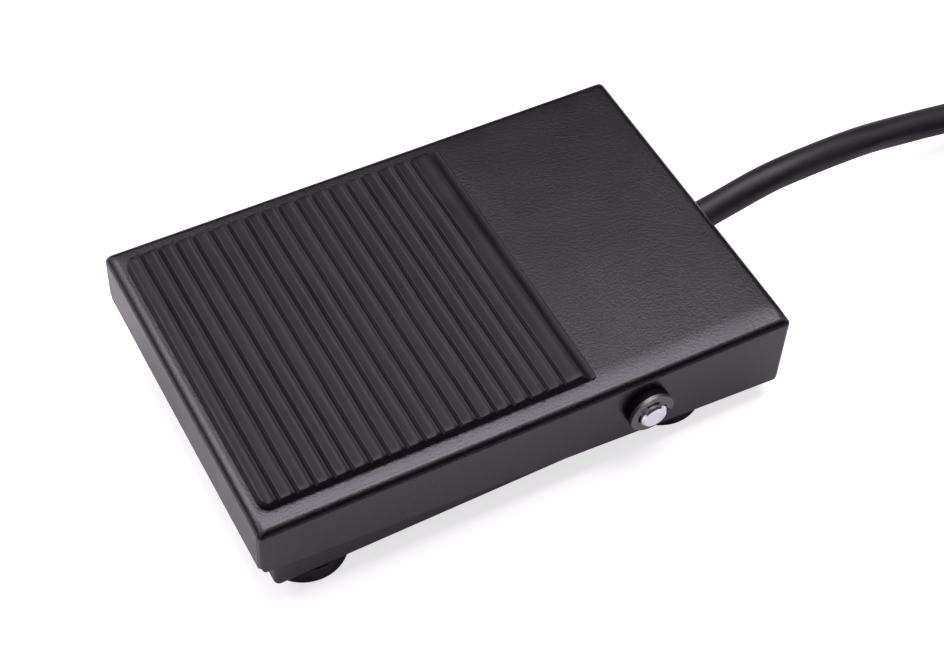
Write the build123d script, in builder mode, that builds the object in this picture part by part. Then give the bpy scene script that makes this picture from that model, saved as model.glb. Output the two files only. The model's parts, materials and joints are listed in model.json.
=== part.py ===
from build123d import *
from math import cos, pi, radians, sin, tan
import os

os.makedirs("parts", exist_ok=True)

# Pedal cover, a folded sheet with skirts that are deeper at the rear
cover_length = 100.0
cover_width = 65.2
cover_sheet = 1.0
cover_bend_radius = 1.7
skirt_front_height = 10.9
skirt_rear_height = 16.7
skirt_corner_radius = 1.2
skirt_seam = 0.15
cord_notch_width = 10.0
cord_notch_rise = 4.7

# Pivot and pedal angles, in degrees
pivot_from_rear = 28.35
pivot_below_top = 8.1
pivot_above_tray = 9.7
rest_tilt = 1.86
press_angle = 3.5
stop_clearance = 0.3
rest_clearance = 0.15

# Pivot shaft, bushes and clips
shaft_diameter = 5.0
shaft_end_length = 0.95
shaft_end_chamfer = 0.35
groove_diameter = 4.0
clip_thickness = 0.7
clip_diameter = 8.3
clip_ring_width = 1.35
clip_prong_width = 1.7
clip_mouth_width = 3.9
clip_mouth_angle = -45.0
clip_play = 0.05
bush_running_clearance = 0.05
bush_barrel_diameter = 7.0
bush_barrel_reach = 0.4
bush_flange_diameter = 8.4
bush_flange_thickness = 1.2

# Base tray
tray_sheet = 1.0
tray_bend_radius = 1.5
tray_side_gap = 0.8
tray_front_gap = 1.75
tray_rear_gap = 1.55

# Rubber feet and what holds them
foot_diameter = 15.2
foot_height = 4.0
foot_edge_radius = 0.6
foot_front_inset = 8.5
foot_rear_inset = 16.5
foot_side_inset = 7.9
screw_diameter = 3.0
screw_head_diameter = 5.6
screw_head_height = 1.8
head_recess_clearance = 0.5
head_recess_depth = 2.4
nut_across_flats = 5.5
nut_thickness = 2.0

# Ribbed tread mat
mat_front_setback = 2.3
mat_side_setback = 3.65
mat_rear_edge = 63.3
mat_valley_height = 1.2
mat_rib_relief = 0.7
mat_side_draft = 0.6
mat_rib_pitch = 3.24
mat_first_crest = 3.9
mat_rib_count = 18
mat_land_start = 61.0
mat_land_height = 0.35
mat_corner_radius = 2.0

# Return spring and its guides
spring_from_front = 22.0
spring_wire = 1.0
spring_outer_diameter = 9.0
spring_turns = 7.0
spring_guide_clearance = 0.3
spring_seat_height = 4.0
spring_stud_length = 3.0
spring_top_gap = 0.3

# Snap switch, its lever and its bracket
switch_length = 19.8
switch_width = 6.4
switch_height = 10.0
switch_from_pivot = 20.0
switch_above_tray_floor = 3.6
switch_edge_radius = 0.4
hinge_from_rear = 1.7
hinge_above_body = 0.6
lever_pin_diameter = 1.0
lever_pin_clearance = 0.05
lever_thickness = 0.4
lever_width = 3.8
lever_reach = 17.0
lever_gap = 0.3
ear_thickness = 1.1
ear_half_length = 0.85
plunger_from_hinge = 5.7
plunger_width = 2.0
plunger_length = 2.6
plunger_clearance = 0.1
plunger_gap = 0.15
plunger_depth = 2.5
switch_hole_spacing = 9.5
switch_hole_above_base = 2.9
switch_screw_diameter = 2.2
switch_screw_head_diameter = 3.8
switch_screw_head_height = 1.3
switch_nut_across_flats = 4.0
switch_nut_thickness = 1.4
bracket_sheet = 1.0
bracket_foot_width = 9.0
bracket_length = 17.0
bracket_top_drop = 2.0
bracket_bend_radius = 1.3
rivet_shank_diameter = 3.0
rivet_head_diameter = 5.0
rivet_head_height = 0.8
rivet_spacing = 10.0
terminal_width = 3.2
terminal_thickness = 0.5
terminal_length = 2.4
terminal_spacing = 7.3
insulator_thickness = 0.5
insulator_width = 12.0
insulator_overhang = 1.0

# Lead, its grommet, clamp and cores
lead_diameter = 5.8
lead_above_tray = 8.0
lead_free_length = 1500.0
jacket_inner_reach = 17.0
grommet_bore_lip = 2.1
grommet_flange_diameter = 12.0
grommet_neck_diameter = 9.0
grommet_flange_thickness = 0.9
grommet_edge_radius = 0.3
clamp_length = 6.0
clamp_width = 18.0
clamp_from_jacket_end = 4.0
clamp_split_gap = 0.4
clamp_strap_height = 3.6
clamp_screw_offset = 5.9
clamp_screw_tip = 1.2
core_diameter = 1.8
core_circle_radius = 1.17
core_bend_radius = 3.0

# Earth tag
earth_foot_clearance = 1.4
earth_clamp_clearance = 2.8
tag_thickness = 0.8
tag_diameter = 6.4
tag_tail_length = 6.5
tag_tail_width = 2.6

# Coil of the lead's put-away length, with turns side by side in two layers
coil_turn_pitch = 6.0
coil_turns_abreast = 4
coil_middle_radius = 32.5
coil_turns = 6.5
coil_centre = (154.0, -29.5)
tie_thickness = 1.0
tie_width = 4.5
tie_head_height = 2.5
tie_side_angle = -20.0
bare_core_splay = 4.0
core_tip_length = 6.0
core_tip_diameter = 1.0

# Places worked out from the sizes above, with the floor at height 0
tilt = radians(rest_tilt)
lead_radius = lead_diameter / 2
shaft_radius = shaft_diameter / 2
half_width = cover_width / 2
top_offset = pivot_below_top
inner_top_offset = top_offset - cover_sheet
pivot_from_front = cover_length - pivot_from_rear
front_reach = pivot_from_front * cos(tilt) + (skirt_front_height - top_offset) * sin(tilt)
rear_reach = pivot_from_rear * cos(tilt) + top_offset * sin(tilt)
pivot_x = (front_reach - rear_reach) / 2
tray_bottom = foot_height
tray_floor = tray_bottom + tray_sheet
pivot_z = tray_bottom + pivot_above_tray
pivot_axis = Axis((pivot_x, 0, pivot_z), (0, 1, 0))


def underside_height(x, angle):
    # height of the cover's underside at x, with the pedal's nose up by that angle
    turn = radians(angle)
    return pivot_z + inner_top_offset / cos(turn) - (x - pivot_x) * tan(turn)


tray_front = pivot_x - pivot_from_front + cover_sheet + tray_front_gap
tray_rear = pivot_x + pivot_from_rear - cover_sheet - tray_rear_gap
tray_half_width = half_width - cover_sheet - tray_side_gap
tray_length = tray_rear - tray_front
tray_middle = (tray_front + tray_rear) / 2
wall_top = underside_height(tray_front, rest_tilt - press_angle) - stop_clearance
rear_wall_top = underside_height(tray_rear, rest_tilt) - rest_clearance

foot_places = {
    "foot_front_near": (tray_front + foot_front_inset, -tray_half_width + foot_side_inset),
    "foot_front_far": (tray_front + foot_front_inset, tray_half_width - foot_side_inset),
    "foot_rear_near": (tray_rear - foot_rear_inset, -tray_half_width + foot_side_inset),
    "foot_rear_far": (tray_rear - foot_rear_inset, tray_half_width - foot_side_inset),
}
spring_x = pivot_x - pivot_from_front + spring_from_front
switch_x = pivot_x - switch_from_pivot
switch_bottom = tray_floor + switch_above_tray_floor
switch_top = switch_bottom + switch_height
bracket_y = switch_width / 2
rivet_y = bracket_y + bracket_sheet + bracket_foot_width / 2
rivet_places = [(switch_x + side * rivet_spacing / 2, rivet_y) for side in (-1, 1)]
lead_z = tray_bottom + lead_above_tray
jacket_end = tray_rear - jacket_inner_reach + grommet_flange_thickness
clamp_x = jacket_end + clamp_from_jacket_end + clamp_length / 2
clamp_screw_places = [(clamp_x, side * clamp_screw_offset) for side in (-1, 1)]
earth_x = tray_rear - foot_rear_inset + foot_diameter / 2 + earth_foot_clearance + screw_diameter / 2
earth_y = clamp_width / 2 + earth_clamp_clearance + tag_diameter / 2
earth_place = (earth_x, earth_y)

# Base tray, an open folded box with the rear wall raised as the rest stop
with BuildPart() as base_tray:
    with BuildSketch(Plane.XY.offset(tray_bottom)):
        with Locations((tray_middle, 0)):
            Rectangle(tray_length, 2 * tray_half_width)
    extrude(amount=rear_wall_top - tray_bottom)
    fillet(base_tray.faces().sort_by(Axis.Z)[0].edges(), tray_bend_radius)
    with BuildSketch(Plane.XY.offset(tray_floor)):
        with Locations((tray_middle, 0)):
            Rectangle(tray_length - 2 * tray_sheet, 2 * tray_half_width - 2 * tray_sheet)
    extrude(amount=rear_wall_top, mode=Mode.SUBTRACT)
    with BuildSketch(Plane.XY.offset(wall_top)):
        with Locations((tray_middle - tray_sheet, 0)):
            Rectangle(tray_length, 2 * tray_half_width + 2)
    extrude(amount=rear_wall_top, mode=Mode.SUBTRACT)
    with BuildSketch(Plane.XZ.offset(-tray_half_width)):
        with Locations((pivot_x, pivot_z)):
            Circle(shaft_radius)
    extrude(amount=2 * tray_half_width, mode=Mode.SUBTRACT)
    with BuildSketch(Plane.YZ.offset(tray_rear - tray_sheet)):
        with Locations((0, lead_z)):
            Circle(grommet_neck_diameter / 2)
    extrude(amount=tray_sheet, mode=Mode.SUBTRACT)
    with BuildSketch(Plane.XY.offset(tray_bottom)):
        with Locations(*foot_places.values(), *rivet_places, *clamp_screw_places, earth_place):
            Circle(screw_diameter / 2)
        with Locations((spring_x, 0)):
            Circle(screw_diameter / 2)
    extrude(amount=tray_sheet, mode=Mode.SUBTRACT)
base_tray.part.label = "base_tray"
export_step(base_tray.part, "parts/base_tray.step")

# Pedal cover, made level about the pivot and then tilted to its rest angle
cover_front = pivot_x - pivot_from_front
cover_rear = cover_front + cover_length
cover_top = pivot_z + top_offset
notch_centre_z = lead_z + cord_notch_rise - cord_notch_width / 2

with BuildPart() as cover_hollow:
    with BuildSketch(Plane.XY.offset(cover_top - cover_sheet)):
        with Locations(((cover_front + cover_rear) / 2, 0)):
            Rectangle(cover_length - 2 * cover_sheet, cover_width - 2 * cover_sheet)
    extrude(amount=-2 * skirt_rear_height)
    fillet(cover_hollow.faces().sort_by(Axis.Z)[-1].edges(), cover_bend_radius - cover_sheet)

with BuildPart() as pedal_cover:
    with BuildSketch(Plane.XZ.offset(-half_width)):
        with BuildLine():
            Polyline(
                (cover_front, cover_top),
                (cover_rear, cover_top),
                (cover_rear, cover_top - skirt_rear_height),
                (cover_front, cover_top - skirt_front_height),
                close=True,
            )
        make_face()
    extrude(amount=cover_width)
    fillet(pedal_cover.faces().sort_by(Axis.Z)[-1].edges(), cover_bend_radius)
    add(cover_hollow.part, mode=Mode.SUBTRACT)
    with BuildSketch(Plane.XZ.offset(-half_width)):
        with Locations((pivot_x, pivot_z)):
            Circle(bush_barrel_diameter / 2)
    extrude(amount=cover_width, mode=Mode.SUBTRACT)
    with BuildSketch(Plane.YZ.offset(cover_rear - 2 * cover_sheet)):
        with Locations((0, notch_centre_z)):
            Circle(cord_notch_width / 2)
        with Locations((0, notch_centre_z - skirt_rear_height / 2)):
            Rectangle(cord_notch_width, skirt_rear_height)
    extrude(amount=3 * cover_sheet, mode=Mode.SUBTRACT)
    seam_height = skirt_rear_height + 1
    seam_y = half_width - cover_sheet - skirt_seam / 2
    seam_top = cover_top - cover_bend_radius
    with BuildSketch(Plane.XY.offset(seam_top)):
        with Locations((cover_front, seam_y), (cover_front, -seam_y)):
            Rectangle(2 * cover_sheet, skirt_seam)
        with Locations((cover_rear, seam_y), (cover_rear, -seam_y)):
            Rectangle(2 * cover_sheet, skirt_seam)
    extrude(amount=-seam_height, mode=Mode.SUBTRACT)
    corner_edges = pedal_cover.edges().filter_by(Axis.Y)
    side_edges = [e for e in corner_edges if e.length < 1.01 * cover_sheet and e.center().Z < pivot_z]
    lower_edges = [e for e in side_edges if abs(abs(e.center().Y) - half_width + cover_sheet / 2) < 0.01]
    fillet(lower_edges, skirt_corner_radius)
pedal_cover.part = pedal_cover.part.rotate(pivot_axis, rest_tilt)
pedal_cover.part.label = "pedal_cover"
export_step(pedal_cover.part, "parts/pedal_cover.step")

# Tread mat: cross ribs with a steep rear flank, sloping ends and a thin land at the rear
mat_half_width = half_width - mat_side_setback
mat_front = cover_front + mat_front_setback
mat_bottom = cover_top
rib_profile = [(-1.35, 0.0), (-0.7, 0.28), (0.0, 1.0), (0.35, 0.85), (0.9, 0.12), (1.3, 0.0)]
mat_outline = [(mat_front, mat_bottom), (mat_front + 0.2, mat_bottom + mat_land_height)]
for rib in range(mat_rib_count):
    crest = cover_front + mat_first_crest + rib * mat_rib_pitch
    first_point = 2 if rib == 0 else 0
    last_point = 4 if rib == mat_rib_count - 1 else 6
    for along, share in rib_profile[first_point:last_point]:
        height = mat_valley_height + share * mat_rib_relief
        mat_outline.append((crest + along, mat_bottom + height))
mat_outline.append((cover_front + mat_land_start, mat_bottom + mat_land_height))
mat_outline.append((cover_front + mat_rear_edge - 0.2, mat_bottom + mat_land_height))
mat_outline.append((cover_front + mat_rear_edge, mat_bottom))
mat_full_height = mat_valley_height + mat_rib_relief

with BuildPart() as mat_body:
    with BuildSketch(Plane.XY.offset(mat_bottom)):
        with Locations(((mat_front + cover_front + mat_rear_edge) / 2, 0)):
            RectangleRounded(mat_rear_edge - mat_front_setback, 2 * mat_half_width, mat_corner_radius)
    extrude(amount=2 * mat_full_height)

mat_lean = 2 * mat_full_height * mat_side_draft / mat_valley_height
with BuildPart() as tread_mat:
    with BuildSketch(Plane.XZ.offset(-mat_half_width)):
        with BuildLine():
            Polyline(*mat_outline, close=True)
        make_face()
    extrude(amount=2 * mat_half_width)
    add(mat_body.part, mode=Mode.INTERSECT)
    with BuildSketch(Plane.YZ.offset(mat_front - 1)):
        for side in (-1, 1):
            with BuildLine():
                Polyline(
                    (side * mat_half_width, mat_bottom),
                    (side * (mat_half_width - mat_lean), mat_bottom + 2 * mat_full_height),
                    (side * (mat_half_width + 1), mat_bottom + 2 * mat_full_height),
                    (side * (mat_half_width + 1), mat_bottom),
                    close=True,
                )
            make_face()
    extrude(amount=mat_rear_edge + 2, mode=Mode.SUBTRACT)
tread_mat.part = tread_mat.part.rotate(pivot_axis, rest_tilt)
tread_mat.part.label = "tread_mat"
export_step(tread_mat.part, "parts/tread_mat.step")

# Pivot shaft with a clip groove near each end
flange_face = half_width + bush_flange_thickness
clip_inner_face = flange_face + clip_play
clip_outer_face = clip_inner_face + clip_thickness
shaft_half_length = clip_outer_face + shaft_end_length
groove_half_width = clip_thickness / 2
groove_middle = (clip_inner_face + clip_outer_face) / 2

with BuildPart() as pivot_shaft:
    with BuildSketch(Plane.XZ.offset(-shaft_half_length)):
        with Locations((pivot_x, pivot_z)):
            Circle(shaft_radius)
    extrude(amount=2 * shaft_half_length)
    chamfer(pivot_shaft.edges().filter_by(GeomType.CIRCLE), shaft_end_chamfer)
    for side in (-1, 1):
        with BuildSketch(Plane.XZ.offset(-side * groove_middle - groove_half_width)):
            with Locations((pivot_x, pivot_z)):
                Circle(shaft_radius + 1)
                Circle(groove_diameter / 2, mode=Mode.SUBTRACT)
        extrude(amount=2 * groove_half_width, mode=Mode.SUBTRACT)
pivot_shaft.part.label = "pivot_shaft"
export_step(pivot_shaft.part, "parts/pivot_shaft.step")

# Flanged bushes in the skirts and E clips on the shaft, one of each a side
clip_inner_radius = clip_diameter / 2 - clip_ring_width
prong_middle = clip_inner_radius / 2 + groove_diameter / 4
for name, side in (("near", -1), ("far", 1)):
    outward = Plane(origin=(pivot_x, side * half_width, pivot_z), x_dir=(1, 0, 0), z_dir=(0, side, 0))
    with BuildPart() as bush:
        with BuildSketch(outward):
            Circle(bush_flange_diameter / 2)
        extrude(amount=bush_flange_thickness)
        with BuildSketch(outward.offset(-cover_sheet - bush_barrel_reach)):
            Circle(bush_barrel_diameter / 2)
        extrude(amount=cover_sheet + bush_barrel_reach)
        with BuildSketch(outward.offset(-cover_sheet - bush_barrel_reach)):
            Circle(shaft_radius + bush_running_clearance)
        extrude(amount=cover_sheet + bush_barrel_reach + bush_flange_thickness, mode=Mode.SUBTRACT)
    bush.part.label = "bush_" + name
    export_step(bush.part, "parts/bush_" + name + ".step")
    clip_plane = outward.offset(bush_flange_thickness + clip_play)
    mouth = clip_mouth_angle * -side
    with BuildPart() as clip:
        with BuildSketch(clip_plane):
            Circle(clip_diameter / 2)
            Circle(clip_inner_radius, mode=Mode.SUBTRACT)
            with PolarLocations(prong_middle, 3, start_angle=mouth + 90, angular_range=180, endpoint=True):
                Rectangle(clip_inner_radius - groove_diameter / 2 + 0.6, clip_prong_width)
            with PolarLocations(clip_diameter / 2, 1, start_angle=mouth):
                Rectangle(2 * clip_ring_width + 2.2, clip_mouth_width, mode=Mode.SUBTRACT)
            Circle(groove_diameter / 2, mode=Mode.SUBTRACT)
        extrude(amount=clip_thickness)
    clip.part.label = "retaining_clip_" + name
    export_step(clip.part, "parts/retaining_clip_" + name + ".step")

# Rubber feet, each with a recess for its screw
for name, place in foot_places.items():
    with BuildPart() as foot:
        with BuildSketch(Plane.XY):
            with Locations(place):
                Circle(foot_diameter / 2)
        extrude(amount=foot_height)
        fillet(foot.edges().group_by(Axis.Z)[0], foot_edge_radius)
        with BuildSketch(Plane.XY):
            with Locations(place):
                Circle(screw_diameter / 2)
        extrude(amount=foot_height, mode=Mode.SUBTRACT)
        with BuildSketch(Plane.XY):
            with Locations(place):
                Circle(screw_head_diameter / 2 + head_recess_clearance)
        extrude(amount=head_recess_depth, mode=Mode.SUBTRACT)
    foot.part.label = name
    export_step(foot.part, "parts/" + name + ".step")

with BuildPart() as foot_screws:
    with BuildSketch(Plane.XY.offset(head_recess_depth - screw_head_height)):
        with Locations(*foot_places.values()):
            Circle(screw_head_diameter / 2)
    extrude(amount=screw_head_height)
    with BuildSketch(Plane.XY.offset(head_recess_depth)):
        with Locations(*foot_places.values()):
            Circle(screw_diameter / 2)
    extrude(amount=tray_floor + nut_thickness + 0.6 - head_recess_depth)
foot_screws.part.label = "foot_screws"
export_step(foot_screws.part, "parts/foot_screws.step")

with BuildPart() as foot_nuts:
    with BuildSketch(Plane.XY.offset(tray_floor)):
        with Locations(*foot_places.values()):
            RegularPolygon(nut_across_flats / 2, 6, major_radius=False)
            Circle(screw_diameter / 2, mode=Mode.SUBTRACT)
    extrude(amount=nut_thickness)
foot_nuts.part.label = "foot_nuts"
export_step(foot_nuts.part, "parts/foot_nuts.step")

# Return spring with ground ends, standing on the tray floor under the cover
spring_radius = (spring_outer_diameter - spring_wire) / 2
guide_radius = spring_radius - spring_wire / 2 - spring_guide_clearance
spring_top = underside_height(spring_x + spring_outer_diameter / 2, rest_tilt) - spring_top_gap
spring_height = spring_top - tray_floor
spring_pitch = spring_height / (spring_turns - 1)
spring_plane = Plane(origin=(spring_x, 0, tray_floor - spring_pitch / 2), z_dir=(0, 0, 1))

with BuildPart() as spring_space:
    with BuildSketch(Plane.XY.offset(tray_floor)):
        with Locations((spring_x, 0)):
            Circle(spring_outer_diameter)
    extrude(amount=spring_height)

with BuildPart() as return_spring:
    with BuildLine(spring_plane) as spring_line:
        Helix(pitch=spring_pitch, height=spring_pitch * spring_turns, radius=spring_radius)
    with BuildSketch(Plane(origin=spring_line.line @ 0, z_dir=spring_line.line % 0)):
        Circle(spring_wire / 2)
    sweep()
    add(spring_space.part, mode=Mode.INTERSECT)
return_spring.part.label = "return_spring"
export_step(return_spring.part, "parts/return_spring.step")

with BuildPart() as spring_seat:
    with BuildSketch(Plane.XY.offset(tray_floor)):
        with Locations((spring_x, 0)):
            Circle(guide_radius)
    extrude(amount=spring_seat_height)
    chamfer(spring_seat.edges().group_by(Axis.Z)[-1], 0.4)
    with BuildSketch(Plane.XY.offset(tray_bottom)):
        with Locations((spring_x, 0)):
            Circle(screw_diameter / 2)
    extrude(amount=tray_sheet)
    with BuildSketch(Plane.XY.offset(tray_bottom)):
        with Locations((spring_x, 0)):
            Circle(rivet_head_diameter / 2)
    extrude(amount=-rivet_head_height)
spring_seat.part.label = "spring_seat"
export_step(spring_seat.part, "parts/spring_seat.step")

with BuildPart() as spring_stud:
    with BuildSketch(Plane.XY.offset(cover_top - cover_sheet)):
        with Locations((spring_x, 0)):
            Circle(guide_radius - spring_guide_clearance)
    extrude(amount=-spring_stud_length)
    chamfer(spring_stud.edges().group_by(Axis.Z)[0], 0.4)
spring_stud.part = spring_stud.part.rotate(pivot_axis, rest_tilt)
spring_stud.part.label = "spring_stud"
export_step(spring_stud.part, "parts/spring_stud.step")

# Snap switch: body with ears for the lever pin and a well for the plunger
hinge_x = switch_x + switch_length / 2 - hinge_from_rear
hinge_z = switch_top + hinge_above_body
pin_radius = lever_pin_diameter / 2
curl_bore = pin_radius + lever_pin_clearance
curl_radius = curl_bore + lever_thickness
ear_top = hinge_z + pin_radius + 0.3
plunger_x = hinge_x - plunger_from_hinge
switch_hole_z = switch_bottom + switch_hole_above_base
switch_hole_places = [(switch_x + side * switch_hole_spacing / 2, switch_hole_z) for side in (-1, 1)]
lever_tip_x = hinge_x - lever_reach
lever_tip_z = underside_height(lever_tip_x, rest_tilt) - lever_gap
lever_start_z = hinge_z + curl_radius
lever_slope = (lever_tip_z - lever_start_z) / lever_reach
plunger_top = lever_start_z + lever_slope * (plunger_from_hinge - plunger_length / 2)
plunger_top = plunger_top - lever_thickness - plunger_gap

with BuildPart() as switch_body:
    with BuildSketch(Plane.XY.offset(switch_bottom)):
        with Locations((switch_x, 0)):
            Rectangle(switch_length, switch_width)
    extrude(amount=switch_height)
    fillet(switch_body.edges().filter_by(Axis.Z), switch_edge_radius)
    ear_y = switch_width / 2 - ear_thickness / 2
    with BuildSketch(Plane.XY.offset(switch_top)):
        with Locations((hinge_x, ear_y), (hinge_x, -ear_y)):
            Rectangle(2 * ear_half_length, ear_thickness)
    extrude(amount=ear_top - switch_top)
    with BuildSketch(Plane.XZ.offset(-switch_width / 2)):
        with Locations((hinge_x, hinge_z)):
            Circle(pin_radius)
        with Locations(*switch_hole_places):
            Circle(switch_screw_diameter / 2)
    extrude(amount=switch_width, mode=Mode.SUBTRACT)
    with BuildSketch(Plane.YZ.offset(hinge_x - curl_radius - 0.3)):
        with Locations((0, hinge_z)):
            Rectangle(switch_width - 2 * ear_thickness, 2 * curl_radius + 0.6)
    extrude(amount=2 * curl_radius + 0.6, mode=Mode.SUBTRACT)
    with BuildSketch(Plane.XY.offset(switch_top)):
        with Locations((plunger_x, 0)):
            Rectangle(plunger_length + 2 * plunger_clearance, plunger_width + 2 * plunger_clearance)
    extrude(amount=-plunger_depth - 1.2, mode=Mode.SUBTRACT)
switch_body.part.label = "switch_body"
export_step(switch_body.part, "parts/switch_body.step")

with BuildPart() as switch_plunger:
    with BuildSketch(Plane.XY.offset(switch_top - plunger_depth)):
        with Locations((plunger_x, 0)):
            Rectangle(plunger_length, plunger_width)
    extrude(amount=plunger_top - switch_top + plunger_depth)
    fillet(switch_plunger.faces().sort_by(Axis.Z)[-1].edges().filter_by(Axis.Y), 0.4)
switch_plunger.part.label = "switch_plunger"
export_step(switch_plunger.part, "parts/switch_plunger.step")

lever_line_plane = Plane.XZ.offset(-lever_width / 2)
with BuildPart() as switch_lever:
    with BuildSketch(lever_line_plane):
        with Locations((hinge_x, hinge_z)):
            Circle(curl_radius)
        with BuildLine():
            Polyline(
                (hinge_x, lever_start_z),
                (lever_tip_x, lever_tip_z),
                (lever_tip_x, lever_tip_z - lever_thickness),
                (hinge_x, lever_start_z - lever_thickness),
                close=True,
            )
        make_face()
        with Locations((hinge_x, hinge_z)):
            Circle(curl_bore, mode=Mode.SUBTRACT)
    extrude(amount=lever_width)
switch_lever.part.label = "switch_lever"
export_step(switch_lever.part, "parts/switch_lever.step")

with BuildPart() as lever_pin:
    with BuildSketch(Plane.XZ.offset(-switch_width / 2)):
        with Locations((hinge_x, hinge_z)):
            Circle(pin_radius)
    extrude(amount=switch_width)
lever_pin.part.label = "lever_pin"
export_step(lever_pin.part, "parts/lever_pin.step")

terminal_offsets = {"terminal_common": 1, "terminal_open": -1, "terminal_closed": 0}
for name, step in terminal_offsets.items():
    with BuildPart() as terminal:
        with BuildSketch(Plane.XY.offset(switch_bottom)):
            with Locations((switch_x + step * terminal_spacing, 0)):
                Rectangle(terminal_width, terminal_thickness)
        extrude(amount=-terminal_length)
        fillet(terminal.edges().filter_by(Axis.Y).group_by(Axis.Z)[0], 0.6)
    terminal.part.label = name
    export_step(terminal.part, "parts/" + name + ".step")

# Bracket riveted to the tray, with the switch screwed to its upright
bracket_top = switch_top - bracket_top_drop
with BuildPart() as switch_bracket:
    with BuildSketch(Plane.YZ.offset(switch_x - bracket_length / 2)):
        with BuildLine():
            Polyline(
                (bracket_y, tray_floor),
                (bracket_y + bracket_sheet + bracket_foot_width, tray_floor),
                (bracket_y + bracket_sheet + bracket_foot_width, tray_floor + bracket_sheet),
                (bracket_y + bracket_sheet, tray_floor + bracket_sheet),
                (bracket_y + bracket_sheet, bracket_top),
                (bracket_y, bracket_top),
                close=True,
            )
        make_face()
    extrude(amount=bracket_length)
    bend = switch_bracket.edges().filter_by(Axis.X).group_by(Axis.Z)[0].sort_by(Axis.Y)[0]
    fillet(bend, bracket_bend_radius)
    with BuildSketch(Plane.XZ.offset(-bracket_y - bracket_sheet)):
        with Locations(*switch_hole_places):
            Circle(switch_screw_diameter / 2)
    extrude(amount=bracket_sheet, mode=Mode.SUBTRACT)
    with BuildSketch(Plane.XY.offset(tray_floor)):
        with Locations(*rivet_places):
            Circle(rivet_shank_diameter / 2)
    extrude(amount=bracket_sheet, mode=Mode.SUBTRACT)
switch_bracket.part.label = "switch_bracket"
export_step(switch_bracket.part, "parts/switch_bracket.step")

with BuildPart() as bracket_rivets:
    with BuildSketch(Plane.XY.offset(tray_bottom)):
        with Locations(*rivet_places):
            Circle(rivet_shank_diameter / 2)
    extrude(amount=tray_sheet + bracket_sheet)
    with BuildSketch(Plane.XY.offset(tray_floor + bracket_sheet)):
        with Locations(*rivet_places):
            Circle(rivet_head_diameter / 2)
    extrude(amount=rivet_head_height)
    with BuildSketch(Plane.XY.offset(tray_bottom)):
        with Locations(*rivet_places):
            Circle(rivet_head_diameter / 2)
    extrude(amount=-rivet_head_height)
bracket_rivets.part.label = "bracket_rivets"
export_step(bracket_rivets.part, "parts/bracket_rivets.step")

screw_far_face = bracket_y + bracket_sheet
with BuildPart() as switch_screws:
    with BuildSketch(Plane.XZ.offset(-screw_far_face - switch_nut_thickness - 0.5)):
        with Locations(*switch_hole_places):
            Circle(switch_screw_diameter / 2)
    extrude(amount=screw_far_face + switch_nut_thickness + 0.5 + switch_width / 2)
    with BuildSketch(Plane.XZ.offset(switch_width / 2)):
        with Locations(*switch_hole_places):
            Circle(switch_screw_head_diameter / 2)
    extrude(amount=switch_screw_head_height)
switch_screws.part.label = "switch_screws"
export_step(switch_screws.part, "parts/switch_screws.step")

with BuildPart() as switch_nuts:
    with BuildSketch(Plane.XZ.offset(-screw_far_face - switch_nut_thickness)):
        with Locations(*switch_hole_places):
            RegularPolygon(switch_nut_across_flats / 2, 6, major_radius=False)
            Circle(switch_screw_diameter / 2, mode=Mode.SUBTRACT)
    extrude(amount=switch_nut_thickness)
switch_nuts.part.label = "switch_nuts"
export_step(switch_nuts.part, "parts/switch_nuts.step")

with BuildPart() as insulator_sheet:
    with BuildSketch(Plane.XY.offset(tray_floor)):
        with Locations((switch_x, bracket_y - 0.3 - insulator_width / 2)):
            Rectangle(switch_length + 2 * insulator_overhang, insulator_width)
    extrude(amount=insulator_thickness)
insulator_sheet.part.label = "insulator_sheet"
export_step(insulator_sheet.part, "parts/insulator_sheet.step")

# Grommet in the rear wall, with a groove that takes the sheet
grommet_outer = tray_rear + grommet_flange_thickness
grommet_inner = tray_rear - tray_sheet - grommet_flange_thickness
with BuildPart() as cable_grommet:
    with BuildSketch(Plane.YZ.offset(grommet_inner)):
        with Locations((0, lead_z)):
            Circle(grommet_flange_diameter / 2)
    extrude(amount=grommet_outer - grommet_inner)
    fillet(cable_grommet.edges().filter_by(GeomType.CIRCLE), grommet_edge_radius)
    with BuildSketch(Plane.YZ.offset(tray_rear - tray_sheet)):
        with Locations((0, lead_z)):
            Circle(grommet_flange_diameter)
            Circle(grommet_neck_diameter / 2, mode=Mode.SUBTRACT)
    extrude(amount=tray_sheet, mode=Mode.SUBTRACT)
    with BuildSketch(Plane.YZ.offset(grommet_inner)):
        with Locations((0, lead_z)):
            Circle(lead_radius)
    extrude(amount=grommet_outer - grommet_inner, mode=Mode.SUBTRACT)
cable_grommet.part.label = "cable_grommet"
export_step(cable_grommet.part, "parts/cable_grommet.step")

# Sheathed lead inside the tray, from the grommet's outer face to the end of its sheath
with BuildPart() as cord_inside:
    with BuildSketch(Plane.YZ.offset(jacket_end)):
        with Locations((0, lead_z)):
            Circle(lead_radius)
    extrude(amount=grommet_outer - jacket_end)
cord_inside.part.label = "cord_inside"
export_step(cord_inside.part, "parts/cord_inside.step")

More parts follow.
